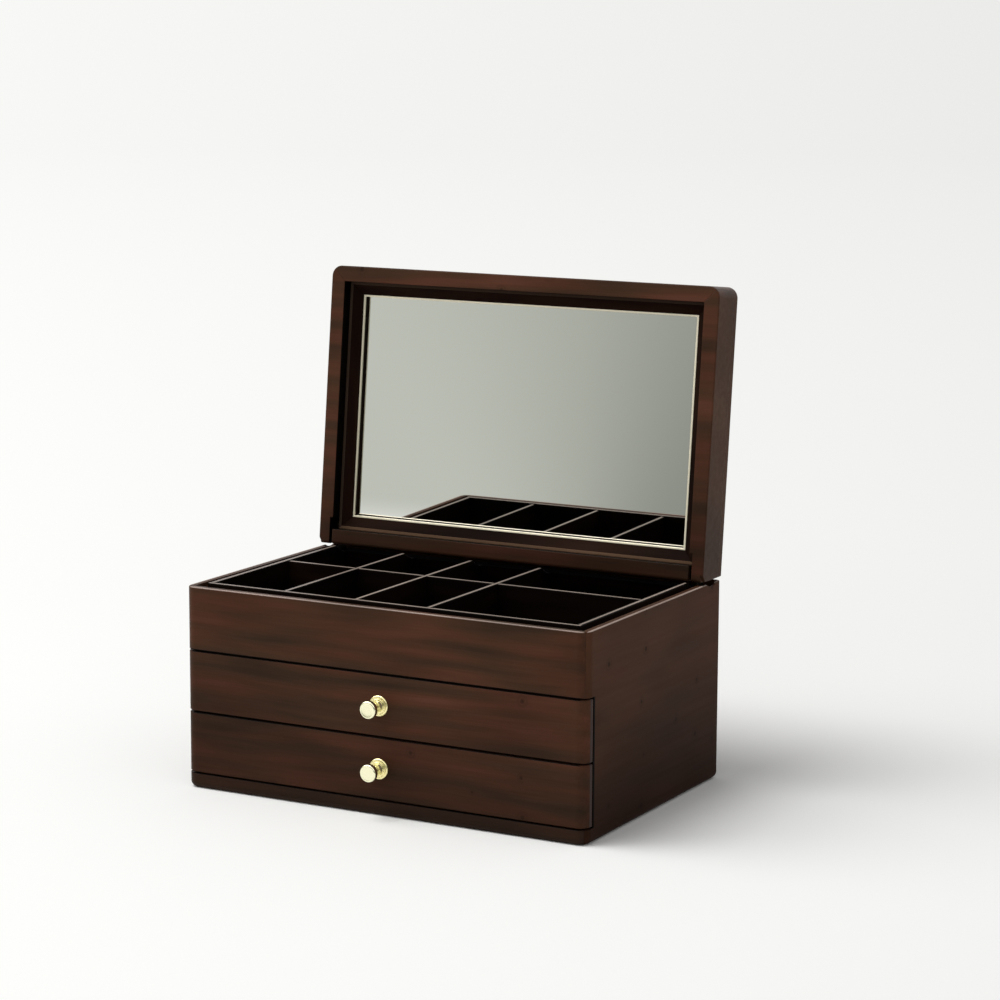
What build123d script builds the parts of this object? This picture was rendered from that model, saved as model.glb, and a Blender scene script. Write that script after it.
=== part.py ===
# Wooden vanity box: a case with two drawers and a tray under a mirrored lid.
# Millimetres, +Z up. The origin is the middle of the face that the case stands on,
# the drawers open towards -Y, and the lid stands open as it does on a dressing table.
import os
from math import cos, radians, sin, tan

from build123d import *

os.makedirs("parts", exist_ok=True)

# ---- overall size
case_width = 280.0
case_depth = 184.0
case_height = 128.0
wall = 10.0
front_corner_radius = 7.0
back_corner_radius = 1.5
base_edge_radius = 4.0
rim_edge_radius = 0.8
running_gap = 0.3  # between pieces that move past each other

half_width = case_width / 2
half_depth = case_depth / 2
inner_x = half_width - wall
front_y = -half_depth
back_y = half_depth
inner_front_y = front_y + wall
inner_back_y = back_y - wall
beyond = 20.0  # how far a cutting shape reaches past the wood

# ---- front, from the bottom up: base rail, two drawers, fixed top rail
seam = 1.0
base_rail_height = 9.5
drawer_front_height = 38.0
drawer_front_thickness = 8.0
drawer_front_gap = 0.8  # between a drawer front and the edge of the case side
drawer_front_bottoms = {
    "lower": base_rail_height + seam,
    "upper": base_rail_height + drawer_front_height + 2 * seam,
}
top_rail_bottom = base_rail_height + 2 * drawer_front_height + 3 * seam
side_front_y = front_y + drawer_front_thickness + drawer_front_gap
front_edge_bevel = 0.5

# ---- rim of the case
rim_width = 4.7
rebate_depth = 2.5

# ---- boards across the case, let into the sides; the bottom board is level with the base
groove_depth = 3.0
divider_board_drop = 2.5  # below the bottom edge of the upper drawer's front
tray_shelf_drop = 3.0  # below the bottom edge of the top rail
board_bottoms = {
    "bottom_board": 0.0,
    "divider_board": drawer_front_bottoms["upper"] - divider_board_drop,
    "tray_shelf": top_rail_bottom - tray_shelf_drop,
}
board_thicknesses = {"bottom_board": 5.0, "divider_board": 4.0, "tray_shelf": 4.0}
board_tops = {board: board_bottoms[board] + board_thicknesses[board] for board in board_bottoms}
board_fronts = {
    "bottom_board": inner_front_y,
    "divider_board": side_front_y,
    "tray_shelf": inner_front_y,
}

# ---- lid and its hinge axis
lid_thickness = 30.0
lid_top_board = 7.0
lid_lean = 6.0  # degrees past upright when open
closed_gap = 0.3
hinge_from_back = 12.5
hinge_above_lid_rim = 13.0
heel_radius = 2.0
heel_clearance = 0.35
cheek_dip = 2.0  # how far the outer cheeks of the case dip below the rim at the hinge
lid_top_edge_radius = 3.0

hinge_y = back_y - hinge_from_back
hinge_z = case_height + closed_gap + hinge_above_lid_rim
lid_rim = -hinge_above_lid_rim  # heights in the lid's own frame, from the hinge axis
lid_top = lid_rim + lid_thickness
lid_board_underside = lid_top - lid_top_board
lid_front = front_y - hinge_y
lid_inner_front = lid_front + wall
lid_inner_back = hinge_from_back - wall

# The heel of the lid, its lower back corner, swings below the rim of the case as the lid
# turns. The case is coved about the hinge axis to let it pass. The outer cheek of each side
# only dips a little there, and the lid has a shallow shoulder that passes over it.
heel_reach = ((hinge_from_back - heel_radius) ** 2 + (hinge_above_lid_rim - heel_radius) ** 2) ** 0.5
cove_radius = heel_reach + heel_radius + heel_clearance
cheek_thickness = 1.2
cheek_cove_radius = hinge_z - case_height + cheek_dip
shoulder_depth = cheek_thickness + running_gap
shoulder_radius = cheek_cove_radius - running_gap

# ---- hinge hardware
plate_thickness = 1.5
plate_width = 10.0
plate_bottom = 98.0
plate_inner_x = inner_x + running_gap
plate_outer_x = plate_inner_x + plate_thickness
slot_outer_x = plate_outer_x + running_gap
pin_radius = 1.5
bush_radius = 2.5
bush_clearance = 0.05
bush_length = 6.0
pin_length = 7.3

# ---- mirror and the moulding round it, measured in from the lid's edges and rim
moulding_ledge = (8.0, 12.0)  # depth of the narrow ledge, and where it ends
moulding_foot = (11.6, 18.3)  # depth and inset of the slope's lower edge
mirror_depth = 15.0
mirror_inset = 17.0
mirror_thickness = 3.0
mirror_rabbet_inset = 16.5
fillet_width = 1.3
fillet_height = 1.1

# ---- tray under the lid
tray_gap = 0.3
tray_wall = 3.3
tray_top = case_height + 1.2  # the tray stands a little proud of the rim
tray_bottom = board_tops["tray_shelf"]
tray_floor_thickness = 3.0
lining_thickness = 0.8
divider_thickness = 3.2
divider_top = tray_top - 0.5  # and its dividers a little lower
long_divider_y = 8.0
tray_columns = 5  # equal columns, of which the last two are one wide compartment
tray_half_x = inner_x - tray_gap
tray_half_y = inner_back_y - tray_gap
tray_inner_x = tray_half_x - tray_wall
tray_inner_y = tray_half_y - tray_wall
column_pitch = 2 * tray_inner_x / tray_columns
cross_divider_xs = [column_pitch * column - tray_inner_x for column in range(1, tray_columns - 1)]
lining_top = tray_bottom + tray_floor_thickness + lining_thickness
divider_lap = (lining_top + divider_top) / 2

# ---- drawer boxes
drawer_side_gap = 0.4
drawer_side = 6.0
drawer_headroom = 1.2
drawer_back_gap = 6.0
drawer_back_y = inner_back_y - drawer_back_gap
drawer_bottom_rise = 3.0
drawer_bottom_thickness = 3.0
drawer_groove = 2.0
runner_width = 12.0
runner_height = 6.0  # the lower drawer runs on these, clear of the base rail
drawer_boards = {"lower": "bottom_board", "upper": "divider_board"}
drawer_floors = {
    "lower": board_tops["bottom_board"] + runner_height,
    "upper": board_tops["divider_board"],
}
drawer_box_height = board_bottoms["tray_shelf"] - drawer_floors["upper"] - running_gap - drawer_headroom
stop_height = 4.0
stop_width = 16.0
stop_x = 70.0

# ---- turned brass knobs
knob_projection = 14.0
rosette_radius = 6.6
rosette_thickness = 1.6
knob_neck_radius = 2.9
knob_foot_radius = 3.7
knob_head_radius = 5.5
knob_head_thickness = 5.2
knob_head_underside = 1.6  # height of the head's sloping underside
knob_head_bevel = 0.9
knob_foot_height = 1.4
knob_thread_depth = 8.0
knob_screw_radius = 1.75
knob_screw_head_radius = 3.4
knob_screw_head_height = 1.8
knob_screw_tip_gap = 0.5


def write(piece, name):
    piece.part.label = name
    export_step(piece.part, f"parts/{name}.step")


# ---- frame of the lid: its origin is on the hinge axis, x runs along the axis, y points to
# the lid's back edge and z to its top, so the sizes read as they do on the closed lid
turn = radians(-(90 + lid_lean))
lid_back_direction = (0, cos(turn), sin(turn))
lid_up_direction = (0, -sin(turn), cos(turn))
lid_plane = Plane(origin=(0, hinge_y, hinge_z), x_dir=(1, 0, 0), z_dir=lid_up_direction)
lid_section = Plane(origin=(0, hinge_y, hinge_z), x_dir=lid_back_direction, z_dir=(1, 0, 0))

# ---- outline of the case and the lid seen from above
with BuildSketch() as outline:
    Rectangle(case_width, case_depth)
    fillet(outline.vertices().group_by(Axis.Y)[0], front_corner_radius)
    fillet(outline.vertices().group_by(Axis.Y)[-1], back_corner_radius)

# ---- outer envelope of the case, which every outside piece is cut from
with BuildPart() as case_envelope:
    with BuildSketch():
        add(outline.sketch)
    extrude(amount=case_height)
    fillet(case_envelope.faces().sort_by(Axis.Z)[0].edges(), base_edge_radius)
    fillet(case_envelope.faces().sort_by(Axis.Z)[-1].edges(), rim_edge_radius)

# ---- space above the case that the turning heel needs, less of it over the outer cheeks
with BuildPart() as heel_cove:
    with BuildSketch(Plane.YZ.offset(cheek_thickness - half_width)):
        with Locations((hinge_y, hinge_z)):
            Circle(cove_radius)
    extrude(amount=case_width - 2 * cheek_thickness)
    with BuildSketch(Plane.YZ.offset(-half_width - beyond)):
        with Locations((hinge_y, hinge_z)):
            Circle(cheek_cove_radius)
    extrude(amount=case_width + 2 * beyond)

# ---- step round the inside of the case rim
with BuildPart() as rim_rebate:
    with BuildSketch(Plane.XY.offset(case_height - rebate_depth)):
        Rectangle(case_width - 2 * rim_width, case_depth - 2 * rim_width)
    extrude(amount=beyond)


# a point on the front mitre line, the given distance out from the inner corner
def mitre_point(outward):
    return inner_x + outward, inner_front_y - outward


# ---- case sides
with BuildPart() as side_right:
    with BuildSketch():
        Polygon(
            (inner_x, inner_front_y),
            mitre_point(wall + beyond),
            (inner_x + wall + beyond, back_y + beyond),
            (inner_x, back_y + beyond),
        )
    extrude(amount=case_height)
    add(case_envelope.part, mode=Mode.INTERSECT)
    with BuildSketch(Plane.XY.offset(base_rail_height)):
        with Locations((half_width, front_y)):
            Rectangle(4 * wall, 2 * (side_front_y - front_y))
    extrude(amount=top_rail_bottom - base_rail_height, mode=Mode.SUBTRACT)
    for board, bottom in board_bottoms.items():
        with BuildSketch(Plane.XY.offset(bottom)):
            with Locations((inner_x, board_fronts[board])):
                Rectangle(groove_depth, inner_back_y - board_fronts[board], align=Align.MIN)
        extrude(amount=board_thicknesses[board], mode=Mode.SUBTRACT)
    add(rim_rebate.part, mode=Mode.SUBTRACT)
    add(heel_cove.part, mode=Mode.SUBTRACT)
    with BuildSketch(Plane.YZ.offset(inner_x)):
        with Locations((hinge_y, plate_bottom)):
            Rectangle(plate_width, case_height, align=(Align.CENTER, Align.MIN))
    extrude(amount=plate_outer_x - inner_x, mode=Mode.SUBTRACT)
write(side_right, "side_right")

with BuildPart() as side_left:
    mirror(side_right.part, about=Plane.YZ)
write(side_left, "side_left")


# ---- fixed rails across the front, mitred into the sides
def front_rail(bottom, height):
    with BuildPart() as rail:
        with BuildSketch(Plane.XY.offset(bottom)):
            right, front = mitre_point(wall + beyond)
            Polygon((-inner_x, inner_front_y), (-right, front), (right, front), (inner_x, inner_front_y))
        extrude(amount=height)
        add(case_envelope.part, mode=Mode.INTERSECT)
        add(rim_rebate.part, mode=Mode.SUBTRACT)
    return rail


top_front_rail = front_rail(top_rail_bottom, case_height - top_rail_bottom)
write(top_front_rail, "top_front_rail")
base_front_rail = front_rail(0, base_rail_height)
write(base_front_rail, "base_front_rail")

# ---- back of the case
with BuildPart() as back_panel:
    with BuildSketch():
        with Locations((0, inner_back_y)):
            Rectangle(2 * inner_x, wall, align=(Align.CENTER, Align.MIN))
    extrude(amount=case_height)
    add(case_envelope.part, mode=Mode.INTERSECT)
    add(rim_rebate.part, mode=Mode.SUBTRACT)
    add(heel_cove.part, mode=Mode.SUBTRACT)
write(back_panel, "back_panel")

# ---- bottom, drawer divider and tray shelf
for board, bottom in board_bottoms.items():
    with BuildPart() as across:
        with BuildSketch(Plane.XY.offset(bottom)):
            with Locations((0, board_fronts[board])):
                Rectangle(
                    2 * (inner_x + groove_depth),
                    inner_back_y - board_fronts[board],
                    align=(Align.CENTER, Align.MIN),
                )
        extrude(amount=board_thicknesses[board])
    write(across, board)

# ---- runners along the sides for the lower drawer
with BuildPart() as drawer_runners:
    with BuildSketch(Plane.XY.offset(board_tops["bottom_board"])):
        with Locations((inner_x, inner_front_y)):
            Rectangle(runner_width, inner_back_y - inner_front_y, align=(Align.MAX, Align.MIN))
    extrude(amount=runner_height)
    mirror(about=Plane.YZ)
write(drawer_runners, "drawer_runners")

# ---- drawer stops, glued on the boards behind the drawers
with BuildPart() as drawer_stops:
    for level, board in drawer_boards.items():
        with BuildSketch(Plane.XY.offset(board_tops[board])):
            with Locations((-stop_x, inner_back_y), (stop_x, inner_back_y)):
                Rectangle(
                    stop_width,
                    inner_back_y - drawer_back_y - running_gap,
                    align=(Align.CENTER, Align.MAX),
                )
        extrude(amount=drawer_floors[level] + stop_height - board_tops[board])
write(drawer_stops, "drawer_stops")


# ---- tray walls
def tray_side(name, x, y, size_x, size_y):
    with BuildPart() as side:
        with BuildSketch(Plane.XY.offset(tray_bottom)):
            with Locations((x, y)):
                Rectangle(size_x, size_y)
        extrude(amount=tray_top - tray_bottom)
        add(heel_cove.part, mode=Mode.SUBTRACT)
    write(side, name)


tray_side("tray_wall_front", 0, tray_wall / 2 - tray_half_y, 2 * tray_half_x, tray_wall)
tray_side("tray_wall_back", 0, tray_half_y - tray_wall / 2, 2 * tray_half_x, tray_wall)
tray_side("tray_wall_left", tray_wall / 2 - tray_half_x, 0, tray_wall, 2 * tray_inner_y)
tray_side("tray_wall_right", tray_half_x - tray_wall / 2, 0, tray_wall, 2 * tray_inner_y)

# ---- tray floor with its felt lining
with BuildPart() as tray_floor:
    with BuildSketch(Plane.XY.offset(tray_bottom)):
        Rectangle(2 * tray_inner_x, 2 * tray_inner_y)
    extrude(amount=tray_floor_thickness)
write(tray_floor, "tray_floor")

with BuildPart() as tray_lining:
    with BuildSketch(Plane.XY.offset(tray_bottom + tray_floor_thickness)):
        Rectangle(2 * tray_inner_x, 2 * tray_inner_y)
    extrude(amount=lining_thickness)
write(tray_lining, "tray_lining")

# ---- tray dividers, half lapped where they cross
with BuildPart() as tray_long_divider:
    with BuildSketch(Plane.XY.offset(lining_top)):
        with Locations((0, long_divider_y)):
            Rectangle(2 * tray_inner_x, divider_thickness)
    extrude(amount=divider_top - lining_top)
    with BuildSketch(Plane.XY.offset(divider_lap)):
        with Locations(*[(x, long_divider_y) for x in cross_divider_xs]):
            Rectangle(divider_thickness, 2 * divider_thickness)
    extrude(amount=beyond, mode=Mode.SUBTRACT)
write(tray_long_divider, "tray_long_divider")

for number, x in enumerate(cross_divider_xs, start=1):
    with BuildPart() as cross_divider:
        with BuildSketch(Plane.XY.offset(lining_top)):
            with Locations((x, 0)):
                Rectangle(divider_thickness, 2 * tray_inner_y)
        extrude(amount=divider_top - lining_top)
        with BuildSketch(Plane.XY.offset(lining_top)):
            with Locations((x, long_divider_y)):
                Rectangle(2 * divider_thickness, divider_thickness)
        extrude(amount=divider_lap - lining_top, mode=Mode.SUBTRACT)
        add(heel_cove.part, mode=Mode.SUBTRACT)
    write(cross_divider, f"tray_cross_divider_{number}")


# ---- drawers
def drawer(level):
    front_bottom = drawer_front_bottoms[level]
    box_bottom = drawer_floors[level] + running_gap
    panel_bottom = box_bottom + drawer_bottom_rise
    panel_top = panel_bottom + drawer_bottom_thickness
    box_front = front_y + drawer_front_thickness
    outer_x = inner_x - drawer_side_gap
    side_x = outer_x - drawer_side
    knob_height = front_bottom + drawer_front_height / 2
    on_front = Plane(origin=(0, front_y, knob_height), x_dir=(1, 0, 0), z_dir=(0, -1, 0))

    with BuildPart() as front:
        with BuildSketch(Plane.XY.offset(front_bottom)):
            with Locations((0, front_y)):
                Rectangle(2 * case_width, drawer_front_thickness, align=(Align.CENTER, Align.MIN))
        extrude(amount=drawer_front_height)
        add(case_envelope.part, mode=Mode.INTERSECT)
        shown_edges = front.edges().filter_by(lambda edge: edge.center().Y < box_front - seam)
        chamfer(shown_edges.group_by(Axis.Z)[0] + shown_edges.group_by(Axis.Z)[-1], front_edge_bevel)
        with BuildSketch(on_front):
            Circle(knob_screw_radius)
        extrude(amount=-drawer_front_thickness, mode=Mode.SUBTRACT)
    write(front, f"drawer_{level}_front")

    with BuildPart() as side:
        with BuildSketch(Plane.XY.offset(box_bottom)):
            with Locations((side_x, box_front)):
                Rectangle(drawer_side, drawer_back_y - box_front, align=Align.MIN)
        extrude(amount=drawer_box_height)
        with BuildSketch(Plane.XY.offset(panel_bottom)):
            with Locations((side_x, box_front)):
                Rectangle(2 * drawer_groove, 2 * case_depth)
        extrude(amount=drawer_bottom_thickness, mode=Mode.SUBTRACT)
    write(side, f"drawer_{level}_side_right")
    with BuildPart() as other_side:
        mirror(side.part, about=Plane.YZ)
    write(other_side, f"drawer_{level}_side_left")

    with BuildPart() as back:
        with BuildSketch(Plane.XY.offset(panel_top)):
            with Locations((0, drawer_back_y)):
                Rectangle(2 * side_x, drawer_side, align=(Align.CENTER, Align.MAX))
        extrude(amount=box_bottom + drawer_box_height - panel_top)
    write(back, f"drawer_{level}_back")

    with BuildPart() as bottom:
        with BuildSketch(Plane.XY.offset(panel_bottom)):
            with Locations((0, box_front)):
                Rectangle(
                    2 * (side_x + drawer_groove),
                    drawer_back_y - box_front,
                    align=(Align.CENTER, Align.MIN),
                )
        extrude(amount=drawer_bottom_thickness)
    write(bottom, f"drawer_{level}_bottom")

    with BuildPart() as lining:
        with BuildSketch(Plane.XY.offset(panel_top)):
            with Locations((0, box_front)):
                Rectangle(
                    2 * side_x,
                    drawer_back_y - drawer_side - box_front,
                    align=(Align.CENTER, Align.MIN),
                )
        extrude(amount=lining_thickness)
    write(lining, f"drawer_{level}_lining")

    with BuildPart() as rosette:
        with BuildSketch(on_front):
            Circle(rosette_radius)
            Circle(knob_screw_radius, mode=Mode.SUBTRACT)
        extrude(amount=rosette_thickness)
    write(rosette, f"knob_{level}_rosette")

    # the knob's profile is drawn in the plane through its axis, x out from the axis
    through_axis = Plane(origin=on_front.origin, x_dir=(1, 0, 0), z_dir=(0, 0, -1))
    head_back = knob_projection - knob_head_thickness
    with BuildPart() as knob:
        with BuildSketch(through_axis):
            with BuildLine():
                Polyline(
                    (0, rosette_thickness),
                    (knob_foot_radius, rosette_thickness),
                    (knob_neck_radius, rosette_thickness + knob_foot_height),
                    (knob_neck_radius, head_back),
                    (knob_head_radius, head_back + knob_head_underside),
                    (knob_head_radius, knob_projection - knob_head_bevel),
                    (knob_head_radius - knob_head_bevel, knob_projection),
                    (0, knob_projection),
                    close=True,
                )
            make_face()
        revolve(axis=Axis(on_front.origin, (0, -1, 0)))
        with BuildSketch(on_front.offset(rosette_thickness)):
            Circle(knob_screw_radius)
        extrude(amount=knob_thread_depth, mode=Mode.SUBTRACT)
    write(knob, f"knob_{level}")

    with BuildPart() as screw:
        with BuildSketch(on_front.offset(-drawer_front_thickness - knob_screw_head_height)):
            Circle(knob_screw_head_radius)
        extrude(amount=knob_screw_head_height)
        with BuildSketch(on_front.offset(-drawer_front_thickness)):
            Circle(knob_screw_radius)
        screw_reach = rosette_thickness + knob_thread_depth - knob_screw_tip_gap
        extrude(amount=drawer_front_thickness + screw_reach)
    write(screw, f"knob_{level}_screw")


for level in drawer_front_bottoms:
    drawer(level)

# ---- outer envelope of the lid
lid_up = Axis((0, hinge_y, hinge_z), lid_up_direction)
with BuildPart() as lid_envelope:
    with BuildSketch(lid_plane.offset(lid_rim)):
        with Locations((0, -hinge_y)):
            add(outline.sketch)
    extrude(amount=lid_thickness)
    fillet(lid_envelope.faces().sort_by(lid_up)[-1].edges(), lid_top_edge_radius)
    fillet(lid_envelope.faces().sort_by(lid_up)[0].edges(), rim_edge_radius)
    # the back of the lid slopes so that it lies level when the lid is open
    lid_top_back = hinge_from_back - lid_thickness * tan(radians(lid_lean))
    with BuildSketch(lid_section.offset(-half_width)) as heel_profile:
        Polygon(
            (lid_front - beyond, lid_rim),
            (hinge_from_back, lid_rim),
            (lid_top_back, lid_top),
            (lid_front - beyond, lid_top),
        )
        heel_corner = heel_profile.vertices().sort_by_distance((hinge_from_back, lid_rim))[0]
        fillet(heel_corner, heel_radius)
        top_corner = heel_profile.vertices().sort_by_distance((lid_top_back, lid_top))[0]
        fillet(top_corner, lid_top_edge_radius)
    extrude(amount=case_width, mode=Mode.INTERSECT)

# ---- shoulders at the ends of the heel, which clear the outer cheeks of the case
with BuildPart() as heel_shoulders:
    with BuildSketch(lid_section.offset(half_width - shoulder_depth)):
        Rectangle(beyond, beyond, align=(Align.MIN, Align.MAX))
        Circle(shoulder_radius, mode=Mode.SUBTRACT)
    extrude(amount=beyond)
    mirror(about=Plane.YZ)


# A lid rail is cut from the envelope by its outline, which is given in the lid's own plane.
def lid_rail(*corners):
    with BuildPart() as rail:
        with BuildSketch(lid_plane.offset(lid_rim)):
            Polygon(*corners)
        extrude(amount=lid_board_underside - lid_rim)
        add(lid_envelope.part, mode=Mode.INTERSECT)
        add(heel_shoulders.part, mode=Mode.SUBTRACT)
    return rail


mitre_x = inner_x + wall + beyond
mitre_front = lid_inner_front - wall - beyond
lid_front_rail = lid_rail(
    (-inner_x, lid_inner_front), (-mitre_x, mitre_front), (mitre_x, mitre_front), (inner_x, lid_inner_front)
)
write(lid_front_rail, "lid_rail_front")

lid_back_rail = lid_rail(
    (-inner_x, lid_inner_back), (inner_x, lid_inner_back), (inner_x, beyond), (-inner_x, beyond)
)
write(lid_back_rail, "lid_rail_back")

# ---- side rails of the lid, slotted for the hinge plates and bored for the bushes
lid_side_rail = lid_rail(
    (inner_x, lid_inner_front), (mitre_x, mitre_front), (mitre_x, beyond), (inner_x, beyond)
)
slot_reach = plate_width / 2 + running_gap
with BuildPart() as plate_slot:
    # room for the plate at every angle: its back wall, upright here, stops the open lid
    with BuildSketch(Plane.YZ.offset(inner_x)):
        with Locations((hinge_y, hinge_z)):
            Circle(slot_reach)
        with Locations((hinge_y + slot_reach, hinge_z)):
            Rectangle(3 * beyond, 2 * beyond, align=Align.MAX)
    extrude(amount=slot_outer_x - inner_x)
    with BuildSketch(lid_section.offset(inner_x)):
        with Locations((-slot_reach, 0)):
            Rectangle(2 * beyond, 2 * beyond, align=(Align.MIN, Align.MAX))
    extrude(amount=slot_outer_x - inner_x)
with BuildPart() as lid_rail_right:
    add(lid_side_rail.part)
    add(plate_slot.part, mode=Mode.SUBTRACT)
    with BuildSketch(lid_section.offset(slot_outer_x)):
        Circle(bush_radius)
    extrude(amount=bush_length, mode=Mode.SUBTRACT)
write(lid_rail_right, "lid_rail_right")

with BuildPart() as lid_rail_left:
    mirror(lid_rail_right.part, about=Plane.YZ)
write(lid_rail_left, "lid_rail_left")

# ---- top board of the lid
with BuildPart() as lid_top_panel:
    with BuildSketch(lid_plane.offset(lid_board_underside)):
        Rectangle(2 * case_width, 3 * case_depth)
    extrude(amount=lid_top_board)
    add(lid_envelope.part, mode=Mode.INTERSECT)
write(lid_top_panel, "lid_top_panel")

# ---- moulding round the mirror: a narrow ledge, then a slope down to the brass fillet, which
# is let into the lip over the glass
ledge_depth, ledge_inset = moulding_ledge
foot_depth, foot_inset = moulding_foot
fillet_back = foot_depth + fillet_height
sight_inset = foot_inset + fillet_width
moulding_profile = [
    (wall, ledge_depth),
    (ledge_inset, ledge_depth),
    (foot_inset, foot_depth),
    (foot_inset, fillet_back),
    (sight_inset, fillet_back),
    (sight_inset, mirror_depth),
    (mirror_rabbet_inset, mirror_depth),
    (mirror_rabbet_inset, lid_board_underside - lid_rim),
    (wall, lid_board_underside - lid_rim),
]
lid_cross = Plane(
    origin=(0, hinge_y, hinge_z), x_dir=(1, 0, 0), z_dir=[-along for along in lid_back_direction]
)


def moulding_strip(name, section_plane, profile, length, mitred_outline):
    with BuildPart() as strip:
        with BuildSketch(section_plane):
            Polygon(*profile)
        extrude(amount=length)
        with BuildSketch(lid_plane.offset(lid_rim)):
            Polygon(*mitred_outline)
        extrude(amount=lid_thickness, mode=Mode.INTERSECT)
    write(strip, name)
    return strip


front_corner = (inner_x, lid_inner_front)
front_mitre = (inner_x - wall, lid_inner_front + wall)
back_corner = (inner_x, lid_inner_back)
back_mitre = (inner_x - wall, lid_inner_back - wall)


# the same point on the left half of the lid
def opposite(point):
    return -point[0], point[1]


moulding_strip(
    "lid_moulding_front",
    lid_section.offset(-inner_x),
    [(lid_front + inset, lid_rim + depth) for inset, depth in moulding_profile],
    2 * inner_x,
    [front_corner, front_mitre, opposite(front_mitre), opposite(front_corner)],
)
moulding_strip(
    "lid_moulding_back",
    lid_section.offset(-inner_x),
    [(hinge_from_back - inset, lid_rim + depth) for inset, depth in moulding_profile],
    2 * inner_x,
    [back_corner, back_mitre, opposite(back_mitre), opposite(back_corner)],
)
lid_moulding_right = moulding_strip(
    "lid_moulding_right",
    lid_cross.offset(-lid_inner_back),
    [(half_width - inset, lid_rim + depth) for inset, depth in moulding_profile],
    lid_inner_back - lid_inner_front,
    [front_corner, front_mitre, back_mitre, back_corner],
)
with BuildPart() as lid_moulding_left:
    mirror(lid_moulding_right.part, about=Plane.YZ)
write(lid_moulding_left, "lid_moulding_left")


# ---- mirror, its backing board and the brass fillet that frames it
def lid_rectangle(inset, **settings):
    with Locations((0, -hinge_y)):
        Rectangle(case_width - 2 * inset, case_depth - 2 * inset, **settings)


with BuildPart() as mirror_glass:
    with BuildSketch(lid_plane.offset(lid_rim + mirror_depth)):
        lid_rectangle(mirror_inset)
    extrude(amount=mirror_thickness)
write(mirror_glass, "mirror")

with BuildPart() as mirror_backing:
    with BuildSketch(lid_plane.offset(lid_rim + mirror_depth + mirror_thickness)):
        lid_rectangle(mirror_inset)
    extrude(amount=lid_board_underside - lid_rim - mirror_depth - mirror_thickness)
write(mirror_backing, "mirror_backing")

with BuildPart() as mirror_fillet:
    with BuildSketch(lid_plane.offset(lid_rim + foot_depth)):
        lid_rectangle(foot_inset)
        lid_rectangle(sight_inset, mode=Mode.SUBTRACT)
    extrude(amount=fillet_height)
write(mirror_fillet, "mirror_fillet")


# ---- hinge hardware, right side first and then its mirror image
def both_sides(piece, name):
    write(piece, f"{name}_right")
    with BuildPart() as left_piece:
        mirror(piece.part, about=Plane.YZ)
    write(left_piece, f"{name}_left")


with BuildPart() as hinge_plate:
    with BuildSketch(Plane.YZ.offset(plate_inner_x)):
        with Locations((hinge_y, plate_bottom)):
            Rectangle(plate_width, hinge_z - plate_bottom, align=(Align.CENTER, Align.MIN))
        with Locations((hinge_y, hinge_z)):
            Circle(plate_width / 2)
            Circle(pin_radius, mode=Mode.SUBTRACT)
    extrude(amount=plate_thickness)
both_sides(hinge_plate, "hinge_plate")

with BuildPart() as hinge_pin:
    with BuildSketch(Plane.YZ.offset(plate_inner_x)):
        with Locations((hinge_y, hinge_z)):
            Circle(pin_radius)
    extrude(amount=pin_length)
both_sides(hinge_pin, "hinge_pin")

with BuildPart() as hinge_bush:
    with BuildSketch(Plane.YZ.offset(slot_outer_x)):
        with Locations((hinge_y, hinge_z)):
            Circle(bush_radius)
            Circle(pin_radius + bush_clearance, mode=Mode.SUBTRACT)
    extrude(amount=bush_length)
both_sides(hinge_bush, "hinge_bush")
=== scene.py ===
import math

import bmesh
import bpy
from mathutils import Matrix, Vector


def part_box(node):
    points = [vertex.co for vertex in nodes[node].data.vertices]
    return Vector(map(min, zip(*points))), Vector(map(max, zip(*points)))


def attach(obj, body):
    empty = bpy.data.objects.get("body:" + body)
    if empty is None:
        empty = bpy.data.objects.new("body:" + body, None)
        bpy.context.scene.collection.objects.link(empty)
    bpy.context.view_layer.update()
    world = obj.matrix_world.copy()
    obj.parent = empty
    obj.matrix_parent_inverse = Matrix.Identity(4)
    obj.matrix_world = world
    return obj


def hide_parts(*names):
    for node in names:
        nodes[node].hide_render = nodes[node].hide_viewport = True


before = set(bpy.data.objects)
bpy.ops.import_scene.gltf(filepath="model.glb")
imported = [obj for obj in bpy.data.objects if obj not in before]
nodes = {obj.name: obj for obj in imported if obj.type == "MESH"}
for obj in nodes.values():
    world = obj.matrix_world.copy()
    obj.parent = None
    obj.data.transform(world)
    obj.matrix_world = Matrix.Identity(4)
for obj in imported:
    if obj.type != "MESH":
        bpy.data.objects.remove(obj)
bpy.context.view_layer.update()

print("frame loaded:", len(nodes), "pieces")

mm = 0.001


# #rrggbb in sRGB to a linear colour
def toLinear(hexColour):
    channels = [int(hexColour[at : at + 2], 16) / 255 for at in (1, 3, 5)]
    return [c / 12.92 if c <= 0.04045 else ((c + 0.055) / 1.055) ** 2.4 for c in channels] + [1.0]


# adds a node, sets its own settings, then its inputs: a socket or a node's first output is
# linked, anything else is a value
def addNode(tree, kind, inputs=None, **settings):
    node = tree.nodes.new(kind)
    for name, value in settings.items():
        setattr(node, name, value)
    for name, value in (inputs or {}).items():
        if isinstance(value, bpy.types.Node):
            value = value.outputs[0]
        if isinstance(value, bpy.types.NodeSocket):
            tree.links.new(value, node.inputs[name])
        else:
            node.inputs[name].default_value = value
    return node


def newMaterial(name):
    material = bpy.data.materials.new(name)
    material.use_nodes = True
    material.node_tree.nodes.clear()
    return material, material.node_tree


# a ramp from (place, hex colour) pairs
def fillRamp(ramp, stops):
    elements = ramp.color_ramp.elements
    while len(elements) > 1:
        elements.remove(elements[-1])
    elements[0].position, elements[0].color = stops[0][0], toLinear(stops[0][1])
    for place, colour in stops[1:]:
        elements.new(place).color = toLinear(colour)
    return ramp


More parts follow.
